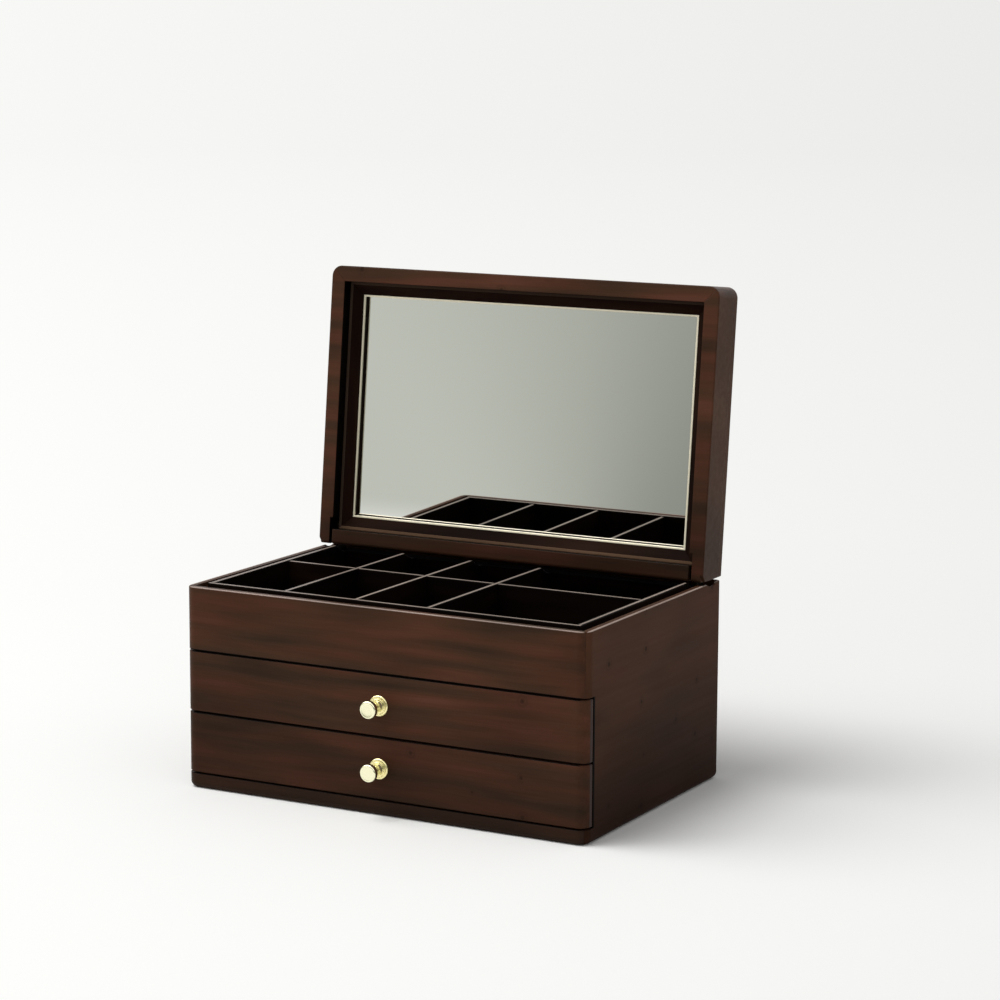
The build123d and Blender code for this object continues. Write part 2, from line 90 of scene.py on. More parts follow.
# the share of a surface that lies between two places in mm on each named axis, 1 or 0
def bandShare(tree, axes, reaches):
    share = None
    for axis, (low, high) in reaches.items():
        within = addNode(
            tree,
            "ShaderNodeMath",
            {0: axes.outputs[axis], 1: (low + high) / 2 * mm, 2: (high - low) / 2 * mm},
            operation="COMPARE",
        )
        if share is not None:
            within = addNode(tree, "ShaderNodeMath", {0: share, 1: within}, operation="MULTIPLY")
        share = within
    return share


# Pine planed smooth, stained dark walnut and sprayed with satin lacquer. The stain lies
# unevenly, so soft reddish and almost black patches follow the grain, the small knots stay
# darker, and the lacquer is dull from the front but shines at a glancing angle. Sizes in mm.
stain = {
    "patches": [
        (0.25, "#33251b"),
        (0.39, "#3e2b1f"),
        (0.51, "#462d20"),
        (0.64, "#4f3023"),
        (0.80, "#563529"),
    ],
    "patchWidth": 11.0,  # across the grain
    "patchLength": 95.0,  # along it
    "cloudWidth": 60.0,
    "cloudLength": 96.0,
    "cloudLevels": (0.80, 1.14),
    "streakWidth": 3.2,
    "streakLength": 120.0,
    "streakDepth": 0.075,
    "fibreWidth": 0.8,  # real fibres are finer: drawn this coarse so that they show
    "fibreLength": 30.0,
    "fibreDepth": 0.045,
    "waveLength": 140.0,
    "waveHeight": 3.0,
    "knotSpacing": 34.0,
    "knotChance": 0.30,  # share of the cells that hold one
    "knotRadius": 2.4,
    "knotGrowth": 2.2,  # the largest knot against the smallest
    "knotRings": [  # how far the knot's colour covers the stain, from the core outwards
        (0.0, "#e0e0e0"),
        (0.25, "#b8b8b8"),
        (0.45, "#303030"),
        (0.68, "#7c7c7c"),
        (1.0, "#000000"),
    ],
    "knot": "#21160f",
    # pale painted highlight on upward edges
    "paintedHighlight": "#a7958b",
    "roughness": 0.38,
    "roughnessSpread": 0.05,
    "ior": 1.12,  # thin lacquer on open grain, which shines far less than a thick coat
    "edgeRadius": 1.0,
    "poreDepth": 0.04,
}
grainStep = (0.137, 0.211, 0.173)  # m between the places in the tree that two boards are cut from
usualNoise = {"From Min": 0.3, "From Max": 0.7}  # nearly all of a noise lies between these
facingCosines = {"From Min": 0.92, "From Max": 0.97}  # within 23 to 14 degrees of a direction
# where the pale painted highlight lies on upward edges
highlightMask = {
    "facesUp": {"From Min": 0.35, "From Max": 0.75},  # height of the unit normal
    "unevenness": {"From Min": 0.3, "From Max": 0.6, "To Min": 0.7, "To Max": 1.0},
    "softEdge": 0.2,  # mm
}


# the board's place in the tree, where slow waves carry the grain up and down
def wavyPlace(tree, look, place, shift):
    moved = addNode(
        tree, "ShaderNodeVectorMath", {0: place, 1: [shift * step for step in grainStep]}
    )
    wave = addNode(
        tree,
        "ShaderNodeTexNoise",
        {"Vector": moved, "Scale": 1 / (look["waveLength"] * mm), "Detail": 1.0},
    )
    centred = addNode(
        tree,
        "ShaderNodeVectorMath",
        {0: wave.outputs["Color"], 1: (0.5, 0.5, 0.5)},
        operation="SUBTRACT",
    )
    lift = addNode(
        tree,
        "ShaderNodeVectorMath",
        {0: centred, "Scale": 2 * look["waveHeight"] * mm},
        operation="SCALE",
    )
    return addNode(tree, "ShaderNodeVectorMath", {0: moved, 1: lift})


# noises stretched along the grain, from broad patches of stain down to single fibres
def grainPatterns(tree, look, along, grain):
    patterns = {}
    for name, detail in (("patch", 1.5), ("cloud", 1.0), ("streak", 1.5), ("fibre", 1.0)):
        scale = [1 / (look[f"{name}Width"] * mm)] * 3
        scale["XYZ".index(grain)] = 1 / (look[f"{name}Length"] * mm)
        stretched = addNode(
            tree, "ShaderNodeVectorMath", {0: along, 1: scale}, operation="MULTIPLY"
        )
        patterns[name] = addNode(
            tree, "ShaderNodeTexNoise", {"Vector": stretched, "Scale": 1.0, "Detail": detail}
        ).outputs[0]
    return patterns


# knots: a few cells of a flat pattern hold one each, a dark core in a faint ring
def knotShare(tree, look, along, face):
    axes = addNode(tree, "ShaderNodeSeparateXYZ", {"Vector": along})
    across, up = [axes.outputs[axis] for axis in "XYZ" if axis != face]
    inPlane = addNode(tree, "ShaderNodeCombineXYZ", {"X": across, "Y": up})
    cells = addNode(
        tree,
        "ShaderNodeTexVoronoi",
        {"Vector": inPlane, "Scale": 1 / (look["knotSpacing"] * mm)},
        voronoi_dimensions="2D",
    )
    chosen = addNode(tree, "ShaderNodeSeparateColor", {"Color": cells.outputs["Color"]})
    isKnot = addNode(
        tree,
        "ShaderNodeMath",
        {0: chosen.outputs["Red"], 1: 1 - look["knotChance"]},
        operation="GREATER_THAN",
    )
    reach = look["knotRadius"] / look["knotSpacing"]
    size = addNode(
        tree,
        "ShaderNodeMapRange",
        {"Value": chosen.outputs["Green"], "To Min": reach, "To Max": reach * look["knotGrowth"]},
    )
    fromCore = addNode(
        tree, "ShaderNodeMath", {0: cells.outputs["Distance"], 1: size}, operation="DIVIDE"
    )
    rings = fillRamp(addNode(tree, "ShaderNodeValToRGB", {"Fac": fromCore}), look["knotRings"])
    return addNode(tree, "ShaderNodeMath", {0: rings, 1: isKnot}, operation="MULTIPLY")


# pale painted highlight on upward edges above the height highlightTop, uneven in patches, and only
# along the crown if given
def edgeHighlightShare(tree, normal, axes, patches, highlightTop, crown):
    normalAxes = addNode(tree, "ShaderNodeSeparateXYZ", {"Vector": normal})
    facesUp = addNode(
        tree, "ShaderNodeMapRange", {"Value": normalAxes.outputs["Z"], **highlightMask["facesUp"]}
    )
    isHigh = addNode(
        tree, "ShaderNodeMath", {0: axes.outputs["Z"], 1: highlightTop * mm}, operation="GREATER_THAN"
    )
    patchy = addNode(tree, "ShaderNodeMapRange", {"Value": patches, **highlightMask["unevenness"]})
    shares = [facesUp, isHigh, patchy]
    if crown:
        axis, middle, halfWidth = crown
        fromMiddle = addNode(
            tree, "ShaderNodeMath", {0: axes.outputs[axis], 1: middle * mm}, operation="SUBTRACT"
        )
        aside = addNode(tree, "ShaderNodeMath", {0: fromMiddle}, operation="ABSOLUTE")
        onCrown = addNode(
            tree,
            "ShaderNodeMapRange",
            {
                "Value": aside,
                "From Min": (halfWidth + highlightMask["softEdge"]) * mm,
                "From Max": (halfWidth - highlightMask["softEdge"]) * mm,
            },
        )
        shares.append(onCrown)
    highlighted = shares[0]
    for share in shares[1:]:
        highlighted = addNode(tree, "ShaderNodeMath", {0: highlighted, 1: share}, operation="MULTIPLY")
    return highlighted


# grain is the axis that the fibres follow and face the axis that the broad side looks along.
# facing is a list of (direction, colour) for faces that look that way and take another colour:
# the painted shade on inner walls, the painted sheen on the lid's sides and the painted
# highlight on the moulding's ledges. highlightTop is the height in mm above which upward edges
# get a pale painted highlight, and crown keeps that to a line: axis, place and half width in mm.
# shadedFoot is two heights in mm and the level at the lower one, a painted shade that darkens
# the wood downwards. strips is a list of (reaches, colour) for narrow bands, a reach in mm per
# axis: painted shade along seams and painted reflection on the drawer ends.
def woodMaterial(
    name,
    look,
    grain="X",
    face="Y",
    shift=0.0,
    facing=(),
    highlightTop=None,
    crown=None,
    shadedFoot=(0.0, 1.0, 1.0),
    strips=(),
):
    material, tree = newMaterial(name)
    texture = addNode(tree, "ShaderNodeTexCoord")
    normal = texture.outputs["Normal"]
    axes = addNode(tree, "ShaderNodeSeparateXYZ", {"Vector": texture.outputs["Object"]})
    along = wavyPlace(tree, look, texture.outputs["Object"], shift)
    patterns = grainPatterns(tree, look, along, grain)

    stained = addNode(tree, "ShaderNodeValToRGB", {"Fac": patterns["patch"]})
    colour = fillRamp(stained, look["patches"]).outputs[0]
    # faces that look one way take another colour: painted shade, sheen and highlight
    for direction, faceColour in facing:
        towards = addNode(
            tree, "ShaderNodeVectorMath", {0: normal, 1: direction}, operation="DOT_PRODUCT"
        )
        isFacing = addNode(
            tree, "ShaderNodeMapRange", {"Value": towards.outputs["Value"], **facingCosines}
        )
        colour = addNode(
            tree,
            "ShaderNodeMix",
            {0: isFacing, 6: colour, 7: toLinear(faceColour)},
            data_type="RGBA",
        ).outputs[2]

    # painted shade: the colour darkens towards the bottom
    footLow, footHigh, footLevel = shadedFoot
    levels = [
        addNode(
            tree,
            "ShaderNodeMapRange",
            {
                "Value": axes.outputs["Z"],
                "From Min": footLow * mm,
                "From Max": footHigh * mm,
                "To Min": footLevel,
                "To Max": 1.0,
            },
            interpolation_type="SMOOTHSTEP",
        )
    ]
    for pattern, (low, high) in (
        ("cloud", look["cloudLevels"]),
        ("streak", (1 - look["streakDepth"], 1 + look["streakDepth"])),
        ("fibre", (1 - look["fibreDepth"], 1 + look["fibreDepth"])),
    ):
        reach = {"Value": patterns[pattern], **usualNoise, "To Min": low, "To Max": high}
        levels.append(addNode(tree, "ShaderNodeMapRange", reach))
    for level in levels:
        colour = addNode(
            tree, "ShaderNodeVectorMath", {0: colour, 1: level}, operation="MULTIPLY"
        ).outputs[0]

    # colours that cover the stain, each with the pattern of where it shows: the knots, the painted
    # shade and reflection strips, and the pale painted highlight on upward edges
    paints = [(knotShare(tree, look, along, face), look["knot"])]
    for reaches, stripColour in strips:
        paints.append((bandShare(tree, axes, reaches), stripColour))
    # painted highlight on the upward edges
    if highlightTop:
        highlighted = edgeHighlightShare(tree, normal, axes, patterns["patch"], highlightTop, crown)
        paints.append((highlighted, look["paintedHighlight"]))
    for share, paint in paints:
        colour = addNode(
            tree, "ShaderNodeMix", {0: share, 6: colour, 7: toLinear(paint)}, data_type="RGBA"
        ).outputs[2]

    rounded = addNode(tree, "ShaderNodeBevel", {"Radius": look["edgeRadius"] * mm}, samples=4)
    pores = addNode(
        tree,
        "ShaderNodeBump",
        {
            "Height": patterns["fibre"],
            "Strength": 0.2,
            "Distance": look["poreDepth"] * mm,
            "Normal": rounded,
        },
    )
    satin = addNode(
        tree,
        "ShaderNodeMapRange",
        {
            "Value": patterns["streak"],
            **usualNoise,
            "To Min": look["roughness"] + look["roughnessSpread"],
            "To Max": look["roughness"] - look["roughnessSpread"],
        },
    )
    shader = addNode(
        tree,
        "ShaderNodeBsdfPrincipled",
        {"Base Color": colour, "Roughness": satin, "IOR": look["ior"], "Normal": pores},
    )
    addNode(tree, "ShaderNodeOutputMaterial", {"Surface": shader})
    return material


def dress(names, material):
    for name in names:
        slots = nodes[name].data.materials
        slots.clear()
        slots.append(material)


lidStain = dict(stain, ior=1.14)
# cut from quieter boards, so the sides are more even and their knots stand out
sideStain = dict(
    stain,
    patches=[(0.3, "#402b20"), (0.5, "#472f22"), (0.75, "#4d3124")],
    patchWidth=20.0,
    streakDepth=0.03,
    fibreDepth=0.02,
    knotSpacing=24.0,
    knotRadius=2.5,
    knot="#140d09",
    ior=1.07,
)
baseStain = dict(stain, patches=[(0.3, "#2f2119"), (0.55, "#3a281e"), (0.8, "#442c21")])
backStain = dict(stain, ior=1.04)
# painted shade: this near black stands for the deep shade on the walls inside
innerWallShade = "#050302"  # walls that face the tray, the mirror or each other, all in deep shade
# the lid's outer sides take one flat brown: the stain's colour, laid flat as a painted sheen
lidSideStainAndSheen = "#482f1f"
# painted shade that darkens the wood downwards: two heights in mm and the level at the lower one
caseShadedFoot = (4.0, 105.0, 0.66)
sideShadedFoot = (2.0, 110.0, 0.42)
lidShadedFoot = (128.0, 200.0, 0.70)
rim = {
    "height": 127.0,  # mm: the wood above this belongs to the rim
    # the lines that carry the painted highlight: axis, place and half width
    "front": ("Y", -91.3, 0.9),
    "left": ("X", -139.3, 0.9),
    "right": ("X", 139.3, 0.9),
}
# painted shade along the edges that meet at a seam, so each seam reads as a broad black line
seamShade = {
    "colour": "#060302",
    "frontFace": (-93.0, -91.2),  # only the outermost layer of the front, in mm
    "halfWidth": 0.4,
    "baseHalfWidth": 0.2,
    # painted shadow in the gap between the sides and the drawers
    "besideDrawers": {"Y": (-83.3, -81.2), "Z": (9.5, 88.5)},
    "drawerEnd": {"Y": (-86.6, -84.6)},
    "drawerEndReflection": "#3f3532",  # painted reflection along the drawer front's end
}


# painted shade along a front's edges, where it meets the next piece
def seamShadeStrips(name, edges, halfWidth=seamShade["halfWidth"]):
    low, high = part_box(name)
    heights = {"low": low[2] / mm, "high": high[2] / mm}
    strips = []
    for edge in edges:
        reach = (heights[edge] - halfWidth, heights[edge] + halfWidth)
        strips.append(({"Y": seamShade["frontFace"], "Z": reach}, seamShade["colour"]))
    return strips


leftward, rightward, forward = (-1, 0, 0), (1, 0, 0), (0, -1, 0)
upward, downward, slantedUp = (0, 0, 1), (0, 0, -1), (0, -0.7, 0.7)
# painted reflection along each drawer front's end
drawerEndReflections = [(seamShade["drawerEnd"], seamShade["drawerEndReflection"])]
lidRail = dict(look=lidStain, shadedFoot=lidShadedFoot)
sideBoard = dict(
    look=sideStain,
    grain="Y",
    face="X",
    highlightTop=rim["height"],
    shadedFoot=sideShadedFoot,
    # painted shadow along the gap beside the drawers
    strips=[(seamShade["besideDrawers"], seamShade["colour"])],
)
boards = {
    "top_front_rail": dict(
        look=stain,
        highlightTop=rim["height"],
        crown=rim["front"],
        shadedFoot=caseShadedFoot,
        strips=seamShadeStrips("top_front_rail", ["low"]),
    ),
    "base_front_rail": dict(
        look=baseStain,
        shadedFoot=caseShadedFoot,
        strips=seamShadeStrips("base_front_rail", ["high"], seamShade["baseHalfWidth"]),
    ),
    "drawer_upper_front": dict(
        look=stain,
        shadedFoot=caseShadedFoot,
        strips=drawerEndReflections + seamShadeStrips("drawer_upper_front", ["low", "high"]),
    ),
    "drawer_lower_front": dict(
        look=stain,
        shadedFoot=caseShadedFoot,
        strips=drawerEndReflections + seamShadeStrips("drawer_lower_front", ["high"]),
    ),
    # painted shade on the back panel's faces that look into the box
    "back_panel": dict(
        look=backStain,
        facing=[(upward, innerWallShade), (slantedUp, innerWallShade), (forward, innerWallShade)],
        shadedFoot=caseShadedFoot,
    ),
    "side_left": dict(sideBoard, crown=rim["left"]),
    "side_right": dict(sideBoard, crown=rim["right"]),
    # the lid stands open at rest, so its inner faces look forward, to the middle, up and down and
    # take the painted shade, while its outer sides take the painted sheen
    "lid_rail_front": dict(lidRail, facing=[(downward, innerWallShade)]),
    "lid_rail_back": dict(lidRail, facing=[(upward, innerWallShade)]),
    "lid_rail_left": dict(lidRail, facing=[(rightward, innerWallShade), (leftward, lidSideStainAndSheen)]),
    "lid_rail_right": dict(lidRail, facing=[(leftward, innerWallShade), (rightward, lidSideStainAndSheen)]),
    "lid_top_panel": dict(lidRail, facing=[(rightward, lidSideStainAndSheen), (leftward, lidSideStainAndSheen)]),
}
for number, (name, options) in enumerate(boards.items(), start=1):
    dress([name], woodMaterial(f"stainedPineSatin.{name}", shift=number, **options))

# Pine moulding, shaped by a cutter and stained almost black: its steps sink into shadow, and
# the narrow ledge has a painted highlight, paler on some sides than on others.
moulding = dict(
    stain,
    patches=[(0.3, "#160c08"), (0.5, "#20130d"), (0.75, "#291912")],
    knotRadius=0.5,
    roughness=0.42,
    ior=1.06,
)
ledgeDirection = (0, -0.9945, 0.1045)  # out of the open lid, which leans back 6 degrees
# each ledge gets a painted highlight, paler or darker by the side it is on
ledgeHighlights = {
    "front": ("X", "#3a2c24"),
    "back": ("X", "#6b5341"),
    "left": ("Z", "#46382e"),
    "right": ("Z", "#241a15"),
}
for number, (side, (grain, ledgeHighlight)) in enumerate(ledgeHighlights.items()):
    finish = woodMaterial(
        f"stainedPineMouldingLedgeHighlight.{side}",
        moulding,
        grain,
        shift=3.3 + number,
        facing=[(ledgeDirection, ledgeHighlight)],
    )
    dress([f"lid_moulding_{side}"], finish)

# Thin tray wood, stained almost black before it was fitted: the compartments stay dark, and
# the top edges carry a pale painted highlight, so the tray reads as a grid of fine light lines.
tray = dict(
    stain,
    patches=[(0.3, "#070403"), (0.5, "#0f0805"), (0.75, "#190e08")],
    knotRadius=0.5,
    # pale painted highlight on the tray's top edges
    paintedHighlight="#a39388",
)
shadedTray = dict(tray, ior=1.02)
trayTop = 128.0  # mm: the wood above this gets the painted highlight
crownHalfWidth = 0.8
thinAlong = {"tray_wall_front": "Y", "tray_wall_back": "Y", "tray_long_divider": "Y"}
thinAlong.update({"tray_wall_left": "X", "tray_wall_right": "X"})
thinAlong.update({f"tray_cross_divider_{number}": "X" for number in (1, 2, 3)})
for number, (name, thin) in enumerate(thinAlong.items()):
    low, high = (corner["XYZ".index(thin)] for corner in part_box(name))
    isBack = name == "tray_wall_back"  # it lies in the lid's shadow, so it gets no painted highlight
    finish = woodMaterial(
        f"stainedTrayWood.{name}",
        shadedTray if isBack else tray,
        grain="Y" if thin == "X" else "X",
        face="Z",
        shift=5.2 + number,
        highlightTop=None if isBack else trayTop,
        crown=(thin, (low + high) / 2 / mm, crownHalfWidth),
    )
    dress([name], finish)

# Pine drawer boxes, planed, stained and waxed: browner and duller than the lacquered fronts.
drawerWood = dict(
    stain, patches=[(0.25, "#2a1b14"), (0.5, "#3a271d"), (0.8, "#4a3226")], roughness=0.5
)
# Plywood, sanded and stained but not lacquered: flat brown, and dull at every angle.
boardWood = dict(
    stain, patches=[(0.25, "#2c1e17"), (0.5, "#382820"), (0.8, "#45322a")], roughness=0.6
)
drawerNames = ("drawer_lower", "drawer_upper")
dress(
    [f"{drawer}_{piece}" for drawer in drawerNames for piece in ("side_left", "side_right")],
    woodMaterial("waxedDrawerWood.sides", drawerWood, "Y", "X", 7.7),
)
dress(
    [f"{drawer}_{piece}" for drawer in drawerNames for piece in ("back", "bottom")],
    woodMaterial("waxedDrawerWood.across", drawerWood, "X", "Y", 8.9),
)
dress(
    [
        "bottom_board",
        "divider_board",
        "tray_shelf",
        "tray_floor",
        "drawer_stops",
        "drawer_runners",
        "mirror_backing",
    ],
    woodMaterial("stainedPlywood", boardWood, "X", "Z", 9.6),
)
print("wood finished")

# Brass turned on a lathe and polished: fine rings stay in the surface and blur what it
# reflects, and under a knob's head the brass has a painted shade.
knobBrass = {
    "colour": "#fffcd8",
    "roughness": 0.19,
    "grooveSpacing": 0.35,  # mm, coarser than the real marks so that they show
    "edgeRadius": 0.2,
    "turned": True,
    "underHeadShade": "#1f150b",
    "underHeadShadeReach": (6.6, 10.3),  # mm from the drawer front
}
# The same brass in the rosette, which a cloth reaches less: yellower, with a softer shine.
rosetteBrass = {
    "colour": "#fff3b6",
    "roughness": 0.24,
    "grooveSpacing": 0.6,
    "edgeRadius": 0.2,
    "turned": True,
}
# Brass strip drawn half round through a die: one thin bright line along the glass.
filletBrass = {
    "colour": "#f8efd8",
    "roughness": 0.33,
    "grooveSpacing": 0.5,
    "edgeRadius": 0.5,
    "crown": -8.0,  # degrees that the round strip leans its shine towards the light
}
# Steel strip, stamped and blackened: a dark plate with a dull grey shine.
hingeSteel = {"colour": "#2b241c", "roughness": 0.45, "grooveSpacing": 0.5, "edgeRadius": 0.3}
# Bright drawn steel wire and screws: small clean glints.
screwSteel = {"colour": "#a9a9a8", "roughness": 0.3, "grooveSpacing": 0.4, "edgeRadius": 0.3}


def metalMaterial(name, look):
    material, tree = newMaterial(name)
    place = addNode(tree, "ShaderNodeTexCoord").outputs["Object"]
    colour = toLinear(look["colour"])
    # painted shade on the neck and under the knob's head
    if look.get("underHeadShade"):
        near, far = look["underHeadShadeReach"]
        axes = addNode(tree, "ShaderNodeSeparateXYZ", {"Vector": place})
        isUnder = bandShare(tree, axes, {"Y": (-far, -near)})
        colour = addNode(
            tree,
            "ShaderNodeMix",
            {0: isUnder, 6: colour, 7: toLinear(look["underHeadShade"])},
            data_type="RGBA",
        ).outputs[2]
    if look.get("turned"):  # the tool leaves its marks at equal distances from the axis
        flattened = addNode(
            tree, "ShaderNodeVectorMath", {0: place, 1: (1.0, 0.0, 1.0)}, operation="MULTIPLY"
        )
        place = addNode(
            tree, "ShaderNodeVectorMath", {0: flattened}, operation="LENGTH"
        ).outputs["Value"]
    grooves = addNode(
        tree,
        "ShaderNodeTexNoise",
        {"Vector": place, "Scale": 1 / (look["grooveSpacing"] * mm), "Detail": 2.0},
    )
    gloss = addNode(
        tree,
        "ShaderNodeMapRange",
        {
            "Value": grooves,
            "To Min": look["roughness"] * 0.8,
            "To Max": look["roughness"] * 1.25,
        },
    )
    rounded = addNode(tree, "ShaderNodeBevel", {"Radius": look["edgeRadius"] * mm}, samples=6)
    if look.get("crown"):
        rounded = addNode(
            tree,
            "ShaderNodeVectorRotate",
            {"Vector": rounded, "Angle": math.radians(look["crown"])},
            rotation_type="X_AXIS",
        )
    shader = addNode(
        tree,
        "ShaderNodeBsdfPrincipled",
        {"Base Color": colour, "Metallic": 1.0, "Roughness": gloss, "Normal": rounded},
    )
    addNode(tree, "ShaderNodeOutputMaterial", {"Surface": shader})
    return material


# Float glass silvered on its back: it reflects cleanly, with a faint haze. It has settled
# forward in its rabbet, which brings the tray's front into the reflection.
mirrorGlass = {
    "colour": "#eef0ee",
    "roughness": 0.006,
    "hazeSize": 40.0,  # mm
    "settled": 7.0,  # degrees
}


def mirrorMaterial(name, look):
    material, tree = newMaterial(name)
    place = addNode(tree, "ShaderNodeTexCoord").outputs["Object"]
    haze = addNode(
        tree,
        "ShaderNodeTexNoise",
        {"Vector": place, "Scale": 1 / (look["hazeSize"] * mm), "Detail": 1.0},
    )
    gloss = addNode(
        tree,
        "ShaderNodeMapRange",
        {"Value": haze, "To Min": look["roughness"], "To Max": look["roughness"] * 3},
    )
    surface = addNode(tree, "ShaderNodeNewGeometry")
    settled = addNode(
        tree,
        "ShaderNodeVectorRotate",
        {"Vector": surface.outputs["Normal"], "Angle": math.radians(look["settled"])},
        rotation_type="X_AXIS",
    )
    shader = addNode(
        tree,
        "ShaderNodeBsdfPrincipled",
        {
            "Base Color": toLinear(look["colour"]),
            "Metallic": 1.0,
            "Roughness": gloss,
            "Normal": settled,
        },
    )
    addNode(tree, "ShaderNodeOutputMaterial", {"Surface": shader})
    return material


# Wool felt, pressed with a short pile and glued down: almost black, with no shine and only a
# faint unevenness where the pile lies one way or the other.
trayFelt = {
    "deep": "#040303",
    "nap": "#0d0a09",
    "napSize": 0.7,  # mm
    "napDepth": 0.25,
    "fleckSize": 6.0,
}


def feltMaterial(name, look):
    material, tree = newMaterial(name)
    place = addNode(tree, "ShaderNodeTexCoord").outputs["Object"]
    nap, flecks = (
        addNode(
            tree,
            "ShaderNodeTexNoise",
            {"Vector": place, "Scale": 1 / (look[size] * mm), "Detail": detail},
        )
        for size, detail in (("napSize", 3.0), ("fleckSize", 2.0))
    )
    both = addNode(tree, "ShaderNodeMath", {0: nap, 1: flecks}, operation="MULTIPLY")
    colour = fillRamp(
        addNode(tree, "ShaderNodeValToRGB", {"Fac": both}),
        [(0.12, look["deep"]), (0.42, look["nap"])],
    )
    bump = addNode(
        tree,
        "ShaderNodeBump",
        {"Height": nap, "Strength": 0.6, "Distance": look["napDepth"] * mm},
    )
    shader = addNode(
        tree,
        "ShaderNodeBsdfPrincipled",
        {
            "Base Color": colour,
            "Roughness": 0.95,
            "Specular IOR Level": 0.1,
            "Sheen Weight": 0.05,
            "Sheen Roughness": 0.5,
            "Normal": bump,
        },
    )
    addNode(tree, "ShaderNodeOutputMaterial", {"Surface": shader})
    return material


polishedBrass = metalMaterial("polishedBrass", knobBrass)
brushedBrass = metalMaterial("brushedBrass", rosetteBrass)
dress(["knob_lower", "knob_upper"], polishedBrass)
dress(["knob_lower_rosette", "knob_upper_rosette"], brushedBrass)
dress(["mirror_fillet"], metalMaterial("drawnBrassFillet", filletBrass))
dress(
    ["hinge_plate_left", "hinge_plate_right", "hinge_bush_left", "hinge_bush_right"],
    metalMaterial("blackenedHingeSteel", hingeSteel),
)
dress(
    ["hinge_pin_left", "hinge_pin_right", "knob_lower_screw", "knob_upper_screw"],
    metalMaterial("brightSteel", screwSteel),
)
dress(["mirror"], mirrorMaterial("silveredGlass", mirrorGlass))
dress(
    ["tray_lining", "drawer_lower_lining", "drawer_upper_lining"],
    feltMaterial("shortPileFelt", trayFelt),
)
print("metal, glass and felt finished")

# the knobs and rosettes, turned with the softly rounded edges and dished face of lathe work.
# Profiles are radius and distance from the drawer front in mm, from the outer end inwards.
turning = {
    "segments": 72,
    "weld": 0.001,  # mm
    "knob": [
        (0.0, 13.86), (2.0, 13.86), (3.6, 13.87), (4.1, 13.92), (4.45, 13.98), (4.75, 13.97),
        (5.05, 13.84), (5.32, 13.52), (5.47, 13.1), (5.5, 12.6), (5.5, 11.1), (5.42, 10.7),
        (5.15, 10.35), (4.6, 9.98), (3.8, 9.5), (3.2, 9.05), (2.95, 8.6), (2.88, 8.0),
        (2.84, 6.5), (2.88, 4.2), (3.0, 3.3), (3.3, 2.5), (3.62, 1.9), (3.7, 1.6), (0.0, 1.6),
    ],
    "rosette": [
        (0.0, 1.6), (4.0, 1.6), (4.25, 1.52), (4.4, 1.34), (4.6, 1.28), (4.8, 1.34),
        (4.95, 1.5), (5.5, 1.52), (6.0, 1.4), (6.35, 1.1), (6.55, 0.65), (6.6, 0.2),
        (6.6, 0.0), (0.0, 0.0),
    ],
}


def turn(name, profile, material, node, body, front, height):
    shape = bmesh.new()
    points = [shape.verts.new((radius * mm, -distance * mm, 0)) for radius, distance in profile]
    edges = [shape.edges.new(pair) for pair in zip(points, points[1:])]
    bmesh.ops.spin(
        shape,
        geom=points + edges,
        cent=(0, 0, 0),
        axis=(0, 1, 0),
        angle=math.tau,
        steps=turning["segments"],
    )
    bmesh.ops.remove_doubles(shape, verts=shape.verts, dist=turning["weld"] * mm)
    bmesh.ops.recalc_face_normals(shape, faces=shape.faces)
    for face in shape.faces:
        face.smooth = True
    mesh = bpy.data.meshes.new(name)
    shape.to_mesh(mesh)
    shape.free()
    mesh.materials.append(material)
    piece = bpy.data.objects.new(name, mesh)
    bpy.context.scene.collection.objects.link(piece)
    piece.location = (0, front, height)
    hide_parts(node)
    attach(piece, body)


for level in ("upper", "lower"):
    knob, rosette = f"knob_{level}", f"knob_{level}_rosette"
    low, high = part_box(rosette)
    place = (f"drawer_{level}", high[1], (low[2] + high[2]) / 2)
    turn(f"turnedKnob.{level}", turning["knob"], polishedBrass, knob, *place)
    turn(f"turnedRosette.{level}", turning["rosette"], brushedBrass, rosette, *place)
print("knobs turned")

# the camera, at the photograph's place and angle
photograph = {
    "place": (0.92446, -1.64243, 0.50122),
    "turn": 28.513,
    "down": 9.656,
    "roll": 0.256,
    "lens": 110.78,
    "sensor": 36,
}
view = bpy.data.cameras.new("camera")
view.lens = photograph["lens"]
view.sensor_width = photograph["sensor"]
camera = bpy.data.objects.new("camera", view)
bpy.context.scene.collection.objects.link(camera)
camera.matrix_world = (
    Matrix.Translation(photograph["place"])
    @ Matrix.Rotation(math.radians(photograph["turn"]), 4, "Z")
    @ Matrix.Rotation(math.radians(90 - photograph["down"]), 4, "X")
    @ Matrix.Rotation(math.radians(photograph["roll"]), 4, "Z")
)
bpy.context.scene.camera = camera
bpy.context.scene.view_settings.view_transform = "Standard"
print("camera placed")

